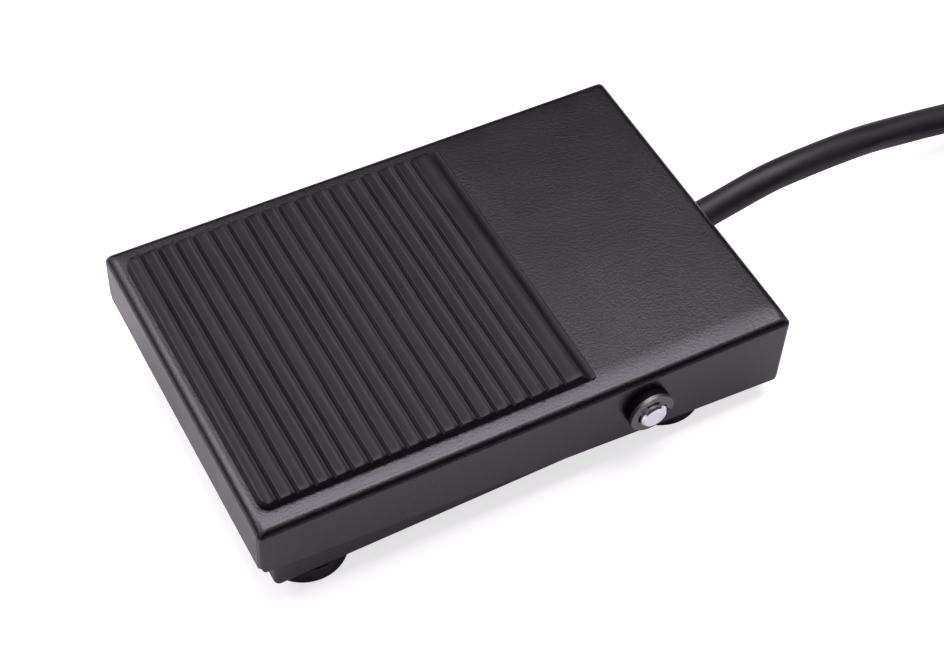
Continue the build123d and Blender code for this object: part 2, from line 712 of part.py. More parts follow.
# Clamp block and strap that hold the lead, with two screws into the tray
clamp_front = clamp_x - clamp_length / 2
strap_bottom = lead_z + clamp_split_gap / 2
strap_top = strap_bottom + clamp_strap_height
with BuildPart() as clamp_block:
    with BuildSketch(Plane.YZ.offset(clamp_front)):
        with Locations((0, (tray_floor + lead_z - clamp_split_gap / 2) / 2)):
            Rectangle(clamp_width, lead_z - clamp_split_gap / 2 - tray_floor)
        with Locations((0, lead_z)):
            Circle(lead_radius, mode=Mode.SUBTRACT)
    extrude(amount=clamp_length)
    with BuildSketch(Plane.XY.offset(tray_floor)):
        with Locations(*clamp_screw_places):
            Circle(screw_diameter / 2)
    extrude(amount=lead_z - tray_floor, mode=Mode.SUBTRACT)
clamp_block.part.label = "clamp_block"
export_step(clamp_block.part, "parts/clamp_block.step")

with BuildPart() as clamp_strap:
    with BuildSketch(Plane.YZ.offset(clamp_front)):
        with Locations((0, (strap_bottom + strap_top) / 2)):
            Rectangle(clamp_width, strap_top - strap_bottom)
        with Locations((0, lead_z)):
            Circle(lead_radius, mode=Mode.SUBTRACT)
    extrude(amount=clamp_length)
    with BuildSketch(Plane.XY.offset(strap_bottom)):
        with Locations(*clamp_screw_places):
            Circle(screw_diameter / 2)
    extrude(amount=clamp_strap_height, mode=Mode.SUBTRACT)
    fillet(clamp_strap.edges().filter_by(Axis.X).group_by(Axis.Z)[-1], 0.8)
clamp_strap.part.label = "clamp_strap"
export_step(clamp_strap.part, "parts/clamp_strap.step")

with BuildPart() as clamp_screws:
    with BuildSketch(Plane.XY.offset(tray_bottom - clamp_screw_tip)):
        with Locations(*clamp_screw_places):
            Circle(screw_diameter / 2)
    extrude(amount=strap_top - tray_bottom + clamp_screw_tip)
    with BuildSketch(Plane.XY.offset(strap_top)):
        with Locations(*clamp_screw_places):
            Circle(screw_head_diameter / 2)
    extrude(amount=screw_head_height)
clamp_screws.part.label = "clamp_screws"
export_step(clamp_screws.part, "parts/clamp_screws.step")

# Earth tag under its own screw on the tray floor
tag_tail_front = earth_x - tag_tail_length
with BuildPart() as earth_tag:
    with BuildSketch(Plane.XY.offset(tray_floor)):
        with Locations(earth_place):
            Circle(tag_diameter / 2)
        with Locations((earth_x - tag_tail_length / 2, earth_y)):
            Rectangle(tag_tail_length, tag_tail_width)
        with Locations(earth_place):
            Circle(screw_diameter / 2, mode=Mode.SUBTRACT)
    extrude(amount=tag_thickness)
earth_tag.part.label = "earth_tag"
export_step(earth_tag.part, "parts/earth_tag.step")

with BuildPart() as earth_screw:
    with BuildSketch(Plane.XY.offset(tray_bottom - clamp_screw_tip)):
        with Locations(earth_place):
            Circle(screw_diameter / 2)
    extrude(amount=tray_sheet + tag_thickness + clamp_screw_tip)
    with BuildSketch(Plane.XY.offset(tray_floor + tag_thickness)):
        with Locations(earth_place):
            Circle(screw_head_diameter / 2)
    extrude(amount=screw_head_height)
earth_screw.part.label = "earth_screw"
export_step(earth_screw.part, "parts/earth_screw.step")


# Cores inside the tray, each a bent wire from the sheath's end to what it is fixed to
def bent_tube(points, radii, diameter):
    with BuildPart() as tube:
        with BuildLine() as route:
            FilletPolyline(*points, radius=radii)
        with BuildSketch(Plane(origin=route.line @ 0, z_dir=route.line % 0)):
            Circle(diameter / 2)
        sweep()
    return tube.part


core_z_low = lead_z - core_circle_radius / 2
core_y_side = core_circle_radius * sin(radians(60))
terminal_wire_z = switch_bottom - terminal_length / 2 - 0.1
terminal_face = -terminal_thickness / 2
common_x = switch_x + terminal_spacing
open_x = switch_x - terminal_spacing
wire_lane_y = -switch_width / 2 - switch_screw_head_height - core_diameter
wire_floor_z = tray_floor + insulator_thickness + core_diameter
under_shaft_z = min(wire_floor_z, pivot_z - shaft_radius - core_diameter)
wire_routes = {
    "wire_common": [
        (jacket_end, 0, lead_z + core_circle_radius),
        (jacket_end - 3.0, 0, lead_z + core_circle_radius),
        (pivot_x + shaft_radius + 1.2, -0.3, under_shaft_z + 1.9),
        (common_x, -3.2, terminal_wire_z),
        (common_x, terminal_face, terminal_wire_z),
    ],
    "wire_open": [
        (jacket_end, -core_y_side, core_z_low),
        (jacket_end - 2.2, -core_y_side, core_z_low),
        (pivot_x + 1.0, wire_lane_y, under_shaft_z + 0.2),
        (open_x + 4.0, wire_lane_y - 0.6, terminal_wire_z),
        (open_x, wire_lane_y, terminal_wire_z),
        (open_x, terminal_face, terminal_wire_z),
    ],
    "wire_earth": [
        (jacket_end, core_y_side, core_z_low),
        (jacket_end - 3.2, core_y_side, core_z_low),
        (jacket_end - 5.5, 9.0, tray_floor + 4.0),
        (tag_tail_front - 6.0, earth_y, tray_floor + core_diameter / 2),
        (tag_tail_front, earth_y, tray_floor + core_diameter / 2),
    ],
}


def bend_radii(points, share=0.45, largest=1e9):
    # radius at each inner corner, from the shorter run beside it and the turn there
    radii = []
    for before, corner, after in zip(points, points[1:], points[2:]):
        arriving = Vector(*corner) - Vector(*before)
        leaving = Vector(*after) - Vector(*corner)
        half_turn = radians(arriving.get_angle(leaving)) / 2
        shorter = min(arriving.length, leaving.length)
        radii.append(min(largest, share * shorter / tan(half_turn)))
    return radii


for name, points in wire_routes.items():
    wire = bent_tube(points, bend_radii(points, largest=core_bend_radius), core_diameter)
    wire.label = name
    export_step(wire, "parts/" + name + ".step")

# Free lead: straight out of the grommet, then down to the floor and on to the coil
coil_bottom = tie_thickness + 0.05
coil_lead_z = coil_bottom + lead_radius
coil_x, coil_y = coil_centre
bundle_half_width = (coil_turns_abreast - 1) / 2 * coil_turn_pitch
outer_turn_radius = coil_middle_radius + bundle_half_width
coil_height = coil_turn_pitch + lead_diameter
upper_turn_z = coil_lead_z + coil_turn_pitch
route_end_y = coil_y + outer_turn_radius
lead_route = [
    (grommet_outer, 0, lead_z),
    (62.5, 1.6, 13.5),
    (79.5, 2.3, 13.8),
    (99.5, 3.7, 10.1),
    (121.5, 3.9, 4.7),
    (138.0, route_end_y - 1.5, coil_lead_z),
    (coil_x, route_end_y, coil_lead_z),
]
lead_radii = bend_radii(lead_route)
print("lead bend radii", [round(radius, 1) for radius in lead_radii])
cord_lead = bent_tube(lead_route, lead_radii, lead_diameter)
cord_lead.label = "cord_lead"
export_step(cord_lead, "parts/cord_lead.step")
route_length = sum((Vector(*b) - Vector(*a)).length for a, b in zip(lead_route, lead_route[1:]))
tube_length = cord_lead.volume / (pi * lead_radius**2)
print("lead route", round(route_length, 1), "tube", round(tube_length, 1))

# Tail of the lead, which comes down off the coil to the floor
tail_y = coil_y - outer_turn_radius
floor_lead_z = lead_radius + 0.05
tail_route = [
    (coil_x - 2.0, tail_y, upper_turn_z),
    (coil_x - 15.0, tail_y, upper_turn_z),
    (coil_x - 34.0, tail_y - 0.2, floor_lead_z),
    (coil_x - 52.0, tail_y + 0.2, floor_lead_z),
]
tail_radii = bend_radii(tail_route)
print("tail bend radii", [round(radius, 1) for radius in tail_radii])
cord_tail = bent_tube(tail_route, tail_radii, lead_diameter)
cord_tail.label = "cord_tail"
export_step(cord_tail, "parts/cord_tail.step")
tail_length = cord_tail.volume / (pi * lead_radius**2)
turns_length = 2 * pi * coil_middle_radius * coil_turns
print("lead length", round(tube_length + turns_length + tail_length, 1), "of", lead_free_length)

# Stripped end: three cores splayed on the floor, each with a bare tip
tail_end_x, tail_end_y, tail_end_z = tail_route[-1]
floor_core_z = core_diameter / 2 + 0.05
core_starts = {
    "lead_core_live": (-core_y_side, -core_circle_radius / 2, -bare_core_splay),
    "lead_core_neutral": (0, core_circle_radius, 0.3),
    "lead_core_earth": (core_y_side, -core_circle_radius / 2, bare_core_splay),
}
tip_planes = []
for name, (aside, above, splay) in core_starts.items():
    start = (tail_end_x, tail_end_y + aside, tail_end_z + above)
    middle = (tail_end_x - 6.0, tail_end_y + aside, tail_end_z + above)
    end = (tail_end_x - 18.0, tail_end_y + splay, floor_core_z)
    core_route = [start, middle, end]
    core = bent_tube(core_route, bend_radii(core_route, largest=2 * core_bend_radius), core_diameter)
    core.label = name
    export_step(core, "parts/" + name + ".step")
    tip_planes.append(Plane(origin=end, z_dir=Vector(*end) - Vector(*middle)))

with BuildPart() as core_tips:
    for tip_plane in tip_planes:
        with BuildSketch(tip_plane):
            Circle(core_tip_diameter / 2)
        extrude(amount=core_tip_length, dir=(-1, 0, 0))
core_tips.part.label = "core_tips"
export_step(core_tips.part, "parts/core_tips.step")

# Coil, one ring with the outer shape of its turns
coil_outer_radius = outer_turn_radius + lead_radius
coil_inner_radius = coil_middle_radius - bundle_half_width - lead_radius
with BuildPart() as cord_coil:
    with BuildSketch(Plane.XY.offset(coil_bottom)):
        with Locations(coil_centre):
            Circle(coil_outer_radius)
            Circle(coil_inner_radius, mode=Mode.SUBTRACT)
    extrude(amount=coil_height)
    fillet(cord_coil.edges().filter_by(GeomType.CIRCLE), lead_radius - 0.2)
cord_coil.part.label = "cord_coil"
export_step(cord_coil.part, "parts/cord_coil.step")

# Tie round the coil's bundle
bundle_width = coil_outer_radius - coil_inner_radius
bundle_middle_z = coil_bottom + coil_height / 2
tie_direction = Vector(cos(radians(tie_side_angle)), sin(radians(tie_side_angle)), 0)
tie_centre = Vector(coil_x, coil_y, bundle_middle_z) + tie_direction * coil_middle_radius
tie_plane = Plane(origin=tie_centre, x_dir=tie_direction, z_dir=Vector(0, 0, 1).cross(tie_direction))
with BuildPart() as coil_tie:
    with BuildSketch(tie_plane.offset(-tie_width / 2)):
        Rectangle(bundle_width + 2 * tie_thickness, coil_height + 2 * tie_thickness)
        Rectangle(bundle_width, coil_height, mode=Mode.SUBTRACT)
    extrude(amount=tie_width)
    with BuildSketch(tie_plane.offset(-tie_width / 2 - 0.5)):
        with Locations((bundle_width / 4, -coil_height / 2 - tie_thickness - tie_head_height / 2)):
            Rectangle(tie_width + 1, tie_head_height)
    extrude(amount=tie_width + 1)
coil_tie.part.label = "coil_tie"
export_step(coil_tie.part, "parts/coil_tie.step")
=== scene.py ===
import json
from math import cos, pi, radians, sin

import bmesh
import bpy
from bpy.props import FloatProperty, FloatVectorProperty, IntProperty, PointerProperty
from bpy.types import Operator, Panel, PropertyGroup
from mathutils import Matrix, Vector, noise


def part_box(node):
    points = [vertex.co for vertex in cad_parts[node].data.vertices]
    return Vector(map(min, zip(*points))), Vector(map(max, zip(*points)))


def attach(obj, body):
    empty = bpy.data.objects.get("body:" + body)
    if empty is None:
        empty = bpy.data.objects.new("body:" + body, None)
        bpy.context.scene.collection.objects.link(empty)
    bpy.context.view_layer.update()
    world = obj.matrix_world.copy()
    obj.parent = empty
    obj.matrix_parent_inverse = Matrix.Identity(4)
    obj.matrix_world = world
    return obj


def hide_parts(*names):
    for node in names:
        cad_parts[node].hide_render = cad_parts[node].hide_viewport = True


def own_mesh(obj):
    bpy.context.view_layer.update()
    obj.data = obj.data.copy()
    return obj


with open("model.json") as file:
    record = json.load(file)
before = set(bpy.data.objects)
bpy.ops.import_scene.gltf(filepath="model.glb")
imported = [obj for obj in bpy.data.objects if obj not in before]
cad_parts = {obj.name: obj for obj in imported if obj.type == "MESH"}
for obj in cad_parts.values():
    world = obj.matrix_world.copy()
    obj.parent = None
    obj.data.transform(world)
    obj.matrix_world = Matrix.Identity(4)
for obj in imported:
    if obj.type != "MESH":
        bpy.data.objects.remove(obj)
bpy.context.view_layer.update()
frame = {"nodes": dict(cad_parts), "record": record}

bl_info = {
    "name": "Foot Switch",
    "version": (1, 0, 0),
    "blender": (4, 5, 0),
    "location": "View3D > Sidebar > Foot Switch",
    "description": "Builds the pieces, finishes and studio of a small pedal foot switch",
    "category": "Object",
}

mm = 0.001

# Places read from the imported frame
shaft_low, shaft_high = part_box("pivot_shaft")
pivot = (shaft_low + shaft_high) / 2

# The pedal at rest: its edges and top before it tilts about the pivot
rest_tilt = radians(1.86)
cover_front = pivot.x - 71.65 * mm
cover_rear = pivot.x + 28.35 * mm
cover_top = pivot.z + 8.1 * mm
cover_half_width = 32.6 * mm
cover_sheet = 1.0 * mm
fold_radius = 1.7 * mm
tray_fold_radius = 1.5 * mm
pedal_tilt = Matrix.Translation(pivot) @ Matrix.Rotation(rest_tilt, 4, "Y") @ Matrix.Translation(-pivot)

# Route of the lead from the grommet to the coil, and from the coil to its bare end, in millimetres
lead_route = [
    (48.25, 0.0, 12.0),
    (62.5, 1.6, 13.5),
    (79.5, 2.3, 13.8),
    (99.5, 3.7, 10.1),
    (121.5, 3.9, 4.7),
    (138.0, 10.5, 3.95),
    (154.0, 12.0, 3.95),
]
tail_route = [
    (152.0, -71.0, 9.95),
    (139.0, -71.0, 9.95),
    (120.0, -71.2, 2.95),
    (102.0, -70.8, 2.95),
]

# The coil: turns in on the floor, a climb onto them, and turns out on top
coil_centre = Vector((154.0, -29.5, 0.0)) * mm
coil_turns = 6.5
turns_in = 3.0
climb_turns = 0.5
climb_tuck = 0.8 * mm

# Changes per metre in how far the cores swell the sheath
swell_changes = 35

# The tie: its loop's inside, its strip and its head
tie_turn = radians(-20.0)
tie_inner_radius = 20.6 * mm
tie_outer_radius = 44.4 * mm
tie_low = 1.05 * mm
tie_high = 12.85 * mm
tie_bend = 2.6 * mm
tie_thickness = 1.0 * mm
tie_width = 4.5 * mm
tie_head = Vector((5.5, 5.5, 2.5)) * mm
tie_head_offset = 6.0 * mm
tie_head_round = 0.5 * mm

# The mat's front wall and rear step: millimetres from the cover's front edge, and height there
front_wall = [(2.3, 0.15), (2.34, 0.7), (2.44, 1.2), (2.62, 1.42), (2.85, 1.52)]
rear_step = [(60.75, 1.6), (61.1, 1.2), (61.5, 0.75), (61.8, 0.5), (62.05, 0.4), (62.3, 0.36),
             (62.85, 0.36), (63.0, 0.4), (63.12, 0.43), (63.24, 0.38), (63.3, 0.2)]

# A rib: millimetres from its middle, and height over the groove as a share of the relief
rib_shoulder = [(-1.36, 0.05), (-1.3, 0.2), (-1.24, 0.36), (-1.16, 0.43), (-1.0, 0.44), (-0.5, 0.42),
                (0.0, 0.43)]
rib_crest = [(0.3, 0.47), (0.5, 0.54), (0.66, 0.65), (0.8, 0.79), (0.92, 0.92), (1.02, 0.99), (1.1, 1.0),
             (1.18, 0.95), (1.3, 0.82), (1.44, 0.6), (1.58, 0.36), (1.7, 0.15), (1.8, 0.03)]
last_crest = [(0.4, 0.48), (0.7, 0.55), (1.0, 0.62), (1.3, 0.66), (1.6, 0.64), (1.8, 0.58)]
first_rib_start = -0.8

# The mat's side wall: millimetres in from its side, and share of the full height there
side_wall = [(0.05, 0.0), (0.12, 0.1), (0.28, 0.24), (0.42, 0.4), (0.46, 0.56), (0.34, 0.68), (0.12, 0.76),
             (0.02, 0.83), (0.02, 0.9), (0.1, 0.97), (0.26, 1.0)]
level_rows = 56

# How far the mat's lean and ragged crests reach in from its sides, and where its waver sets in
lean_reach = 2.0 * mm
ragged_reach = 1.0 * mm
waver_side = 1.5 * mm
waver_front = 1.0 * mm
waver_rear = 2.0 * mm

# The share of the relief above which a crest is ragged
ragged_start = 0.6

# The mat's noises: their changes per metre along and across it, and the slice that each takes
ragged_noise = (400, 5.0, 1.0)
height_noise = (900, 45, 9.0)
waver_noise = (260, 70, 3.0)

# Rows of edges added to a folded sheet: in its corners, by shares of their radius, and across its crown
corner_cuts = (0.2, 0.4, 0.6, 0.8, 1.0, 1.3, 1.7, 2.1, 2.5)
crown_cuts = (0.0, 0.18, 0.36, 0.55, 0.75, 1.0)

# How close vertices are joined, and how close a cut or a corner takes them for its own
weld_distance = 0.001 * mm
cut_distance = 0.002 * mm
corner_slack = 0.03 * mm

# Faces that meet at less than the first angle are one flat, and at more than the second an edge
flat_angle = radians(1.0)
edge_angle = radians(50)

# The cover's droop beside its far long side and its short sides, as shares of that beside the near one
far_droop = 0.25
end_droop = 0.2

# The softboxes in metres: place, point faced, size, and share of the lamp power
softboxes = [
    ("far_softbox", (-0.45, 0.65, 1.0), (-0.45, 0.65, 0.0), (1.0, 0.5), 1.3),
    ("top_softbox", (0.25, 0.115, 1.0), (0.25, 0.115, 0.0), (0.8, 0.67), 1.52),
]
world_light = 0.35

# The shading cards in metres: middle, direction faced, width and height
cards = [
    ("far_card", (0.19, 0.29, 0.165), (-0.56, -0.86, 0.0), 0.7, 0.33),
    ("near_card", (0.2, -0.62, 0.45), (0.0, 1.0, 0.0), 1.8, 0.9),
    ("front_card", (-1.3, 0.2, 0.24), (1.0, 0.0, 0.0), 2.4, 0.48),
]

# The camera's place in millimetres and its turns in degrees
camera_place = (-103.48, -199.58, 295.88)
camera_turns = (38.058, -0.53, -27.919)


class LeadSettings(PropertyGroup):
    diameter: FloatProperty(
        name="Diameter", description="Outside of the sheath", default=5.8 * mm, unit="LENGTH")
    length: FloatProperty(
        name="Length", description="Free lead from the grommet to the end of its sheath",
        default=1.5, unit="LENGTH")
    coil_radius: FloatProperty(
        name="Outer turn", description="Radius of the coil's outer turn", default=41.5 * mm, unit="LENGTH")
    coil_pitch: FloatProperty(
        name="Turn pitch", description="From one turn to the next", default=6.0 * mm, unit="LENGTH")
    points_per_turn: IntProperty(
        name="Points per turn", description="Control points in one turn of the coil", default=16, min=12)
    core_swell: FloatProperty(
        name="Core swell", description="How far the twisted cores push the sheath out",
        default=0.09 * mm, unit="LENGTH")
    core_lay: FloatProperty(
        name="Core lay", description="Length in which the cores make one turn",
        default=70.0 * mm, unit="LENGTH")
    colour: FloatVectorProperty(
        name="Sheath colour", description="Colour of the sheath", subtype="COLOR",
        default=(0.0055, 0.0048, 0.0057))


class MatSettings(PropertyGroup):
    rib_count: IntProperty(name="Ribs", description="Number of cross ribs", default=18, min=2)
    rib_pitch: FloatProperty(
        name="Rib pitch", description="From one rib to the next", default=3.24 * mm, unit="LENGTH")
    first_rib: FloatProperty(
        name="First rib", description="From the cover's front edge to its middle",
        default=3.75 * mm, unit="LENGTH")
    groove_height: FloatProperty(
        name="Groove height", description="Rubber under the grooves", default=1.2 * mm, unit="LENGTH")
    rib_relief: FloatProperty(
        name="Rib relief", description="A rib's crest above the grooves", default=0.68 * mm, unit="LENGTH")
    unevenness: FloatProperty(
        name="Unevenness", description="How far the ribs' height wanders",
        default=0.05 * mm, unit="LENGTH")
    crest_end: FloatProperty(
        name="Crest end", description="How far the crests stand out at the sides",
        default=0.35 * mm, unit="LENGTH")
    side_draft: FloatProperty(
        name="Side draft", description="How far the side walls lean in", default=0.3 * mm, unit="LENGTH")
    front_corner: FloatProperty(
        name="Front corners", description="Radius of the mat's front corners",
        default=2.0 * mm, unit="LENGTH")
    rear_corner: FloatProperty(
        name="Rear corners", description="Radius of the mat's rear corners",
        default=0.6 * mm, unit="LENGTH")
    waver: FloatProperty(
        name="Waver", description="How far a rib strays from a straight line",
        default=0.12 * mm, unit="LENGTH")
    colour: FloatVectorProperty(
        name="Rubber colour", description="Colour of the mat", subtype="COLOR",
        default=(0.0085, 0.0077, 0.0092))


class PaintSettings(PropertyGroup):
    cover_colour: FloatVectorProperty(
        name="Cover colour", description="Powder coat of the pedal cover", subtype="COLOR",
        default=(0.0024, 0.0019, 0.0025))
    tray_colour: FloatVectorProperty(
        name="Tray colour", description="Powder coat of the base tray", subtype="COLOR",
        default=(0.0024, 0.0019, 0.0025))
    grain: FloatProperty(
        name="Grain", description="Size of the coat's grain", default=0.43 * mm, unit="LENGTH")
    grain_depth: FloatProperty(
        name="Grain depth", description="Height of the coat's grain", default=0.085 * mm, unit="LENGTH")
    crown_width: FloatProperty(
        name="Crown width", description="How far from a fold the sheet starts to droop",
        default=3.8 * mm, unit="LENGTH")
    crown_drop: FloatProperty(
        name="Crown drop", description="How far the sheet droops at the near long fold",
        default=0.25 * mm, unit="LENGTH")
    corner_radius: FloatProperty(
        name="Corner radius", description="Of the folded corners in plan", default=0.9 * mm, unit="LENGTH")
    edge_round: FloatProperty(
        name="Edge round", description="Rounding that the coat leaves on the cover's edges",
        default=0.12 * mm, unit="LENGTH")


class StageSettings(PropertyGroup):
    floor_colour: FloatVectorProperty(
        name="Floor colour", description="Plain pale floor", subtype="COLOR", default=(0.64, 0.585, 0.65))
    floor_lift: FloatProperty(
        name="Floor lift", description="Light that the seen floor adds, so its shadow stays pale",
        default=0.68)
    floor_gloss_lift: FloatProperty(
        name="Floor lift in reflections", description="Light that the floor adds in reflections",
        default=0.02)
    floor_size: FloatProperty(
        name="Floor size", description="Side of the floor", default=6.0, unit="LENGTH")
    lamp_power: FloatProperty(
        name="Lamp power", description="Power that each softbox takes its own share of",
        default=7.0, unit="POWER")
    card_grey: FloatProperty(
        name="Card grey", description="Brightness of the shading cards", default=0.03)
    lens: FloatProperty(name="Lens", description="Focal length in millimetres", default=78.4)


def mesh_from(bm, name):
    """A mesh with the bmesh's faces."""
    mesh = bpy.data.meshes.new(name)
    bm.to_mesh(mesh)
    bm.free()
    return mesh


def placed(name, data):
    """An object in the scene that shows the given data."""
    made = bpy.data.objects.new(name, data)
    bpy.context.scene.collection.objects.link(made)
    return made


def piece_from(bm, name, slot, smooth_angle=40):
    """A piece with the bmesh's faces and the slot's finish, shaded smooth below the given angle."""
    mesh = mesh_from(bm, name)
    mesh.shade_smooth()
    mesh.set_sharp_from_angle(angle=radians(smooth_angle))
    made = placed(name, mesh)
    made.data.materials.append(material_of(slot))
    return made


def is_vertex(item):
    return isinstance(item, bmesh.types.BMVert)


def round_off(bm, edges, radius, segments, clamped=False):
    """Rounds the given edges."""
    bmesh.ops.bevel(bm, geom=edges, offset=radius, offset_type="OFFSET", segments=segments,
                    profile=0.5, affect="EDGES", clamp_overlap=clamped, material=-1)


def fill_open_ends(bm):
    bmesh.ops.holes_fill(bm, edges=[edge for edge in bm.edges if edge.is_boundary], sides=0)


def plane_at(axis, place):
    """A point in a plane square to an axis, and the plane's direction."""
    spot = Vector((0, 0, 0))
    spot[axis] = place
    direction = Vector((0, 0, 0))
    direction[axis] = 1
    return spot, direction


def new_material(name):
    """A material, its node tree and an Object coordinate to hang patterns on."""
    material = bpy.data.materials.new(name)
    material.use_nodes = True
    tree = material.node_tree
    return material, tree, tree.nodes.new("ShaderNodeTexCoord").outputs["Object"]


def shader_input(tree, name):
    return tree.nodes["Principled BSDF"].inputs[name]


def noise_in(tree, place, size, detail=3.0, roughness=0.55):
    """Noise whose features are about the given size in metres."""
    node = tree.nodes.new("ShaderNodeTexNoise")
    node.inputs["Scale"].default_value = 1.0 / size
    node.inputs["Detail"].default_value = detail
    node.inputs["Roughness"].default_value = roughness
    tree.links.new(place, node.inputs["Vector"])
    return node.outputs["Fac"]


def spread(tree, source, low, high, start=0.3, end=0.7):
    """Maps a pattern onto a range of values."""
    node = tree.nodes.new("ShaderNodeMapRange")
    node.inputs["From Min"].default_value = start
    node.inputs["From Max"].default_value = end
    node.inputs["To Min"].default_value = low
    node.inputs["To Max"].default_value = high
    tree.links.new(source, node.inputs["Value"])
    return node.outputs["Result"]


def tint(tree, factor, dark, light):
    """Colours the shader between two colours, by a factor from 0 to 1."""
    node = tree.nodes.new("ShaderNodeMix")
    node.data_type = "RGBA"
    node.inputs["A"].default_value = (*dark, 1)
    node.inputs["B"].default_value = (*light, 1)
    tree.links.new(factor, node.inputs["Factor"])
    tree.links.new(node.outputs["Result"], shader_input(tree, "Base Color"))


def patches(tree, pattern, colour, dark, light):
    """Colours the shader in patches, between a darker and a lighter share of its colour."""
    shade = spread(tree, pattern, 0.0, 1.0)
    tint(tree, shade, [channel * dark for channel in colour], [channel * light for channel in colour])


def dullness(tree, pattern, low, high):
    """Lets the shader's roughness wander between two values."""
    tree.links.new(spread(tree, pattern, low, high), shader_input(tree, "Roughness"))


def gloss(tree, level, colour=(1.0, 1.0, 1.0)):
    """Sets how strongly the shader reflects, and in which colour."""
    shader_input(tree, "Specular IOR Level").default_value = level
    shader_input(tree, "Specular Tint").default_value = (*colour, 1)


def relief(tree, height, depth, strength):
    """Bumps the shader's normal by a height."""
    node = tree.nodes.new("ShaderNodeBump")
    node.inputs["Strength"].default_value = strength
    node.inputs["Distance"].default_value = depth
    tree.links.new(height, node.inputs["Height"])
    tree.links.new(node.outputs["Normal"], shader_input(tree, "Normal"))


def powder_coat(name, colour, grain, grain_depth):
    """Black powder coat: an even satin skin with a fine grain and faint cloudiness."""
    material, tree, place = new_material(name)
    fine = noise_in(tree, place, grain, 4.0, 0.6)
    cloud = noise_in(tree, place, 14 * mm, 2.0)
    patches(tree, fine, colour, 0.78, 1.3)
    dullness(tree, cloud, 0.23, 0.3)
    gloss(tree, 0.5, (0.95, 0.88, 1.0))
    relief(tree, fine, grain_depth, 0.6)
    return material


def moulded_rubber(name, colour, roughness, reflection):
    """Moulded rubber: nearly even, with faint cloudy patches and a very fine skin."""
    material, tree, place = new_material(name)
    skin = noise_in(tree, place, 0.5 * mm)
    cloud = noise_in(tree, place, 9 * mm)
    patches(tree, cloud, colour, 0.85, 1.2)
    dullness(tree, cloud, roughness - 0.05, roughness + 0.05)
    gloss(tree, reflection, (0.92, 0.84, 1.0))
    relief(tree, skin, 0.02 * mm, 0.5)
    return material


def moulded_plastic(name, colour, roughness=0.4, reflection=0.5):
    """Moulded plastic with a faint flow pattern."""
    material, tree, place = new_material(name)
    flow = noise_in(tree, place, 3 * mm, 2.0)
    patches(tree, flow, colour, 0.92, 1.08)
    dullness(tree, flow, roughness - 0.04, roughness + 0.04)
    gloss(tree, reflection)
    relief(tree, flow, 0.02 * mm, 0.3)
    return material


def plain_metal(name, colour, roughness=0.3, grain=0.6 * mm, depth=0.01 * mm):
    """Bare or plated metal with small patches of brighter and duller skin."""
    material, tree, place = new_material(name)
    shader_input(tree, "Metallic").default_value = 1.0
    fine = noise_in(tree, place, grain)
    cloud = noise_in(tree, place, 2.5 * mm, 2.0)
    patches(tree, cloud, colour, 0.9, 1.05)
    dullness(tree, fine, roughness - 0.07, roughness + 0.07)
    relief(tree, fine, depth, 0.4)
    return material


def sheath(name, colour):
    """Satin lead sheath with faint draw marks along it and patches that are a little duller."""
    material, tree, place = new_material(name)
    along = tree.nodes.new("ShaderNodeUVMap")
    stretch = tree.nodes.new("ShaderNodeMapping")
    stretch.inputs["Scale"].default_value = (0.03, 1.0, 1.0)
    tree.links.new(along.outputs["UV"], stretch.inputs["Vector"])
    marks = noise_in(tree, stretch.outputs["Vector"], 0.9 * mm, 2.0)
    cloud = noise_in(tree, place, 12 * mm)
    patches(tree, cloud, colour, 0.85, 1.15)
    dullness(tree, cloud, 0.4, 0.55)
    gloss(tree, 0.36, (0.94, 0.87, 1.0))
    relief(tree, marks, 0.02 * mm, 0.5)
    return material


def striped_core(name):
    """Green insulation with yellow stripes."""
    material, tree, place = new_material(name)
    stripe = tree.nodes.new("ShaderNodeTexWave")
    stripe.bands_direction = "DIAGONAL"
    stripe.inputs["Scale"].default_value = 60.0
    tree.links.new(place, stripe.inputs["Vector"])
    shade = spread(tree, stripe.outputs["Fac"], 0.0, 1.0, 0.45, 0.55)
    tint(tree, shade, (0.05, 0.22, 0.04), (0.65, 0.5, 0.03))
    shader_input(tree, "Roughness").default_value = 0.4
    return material


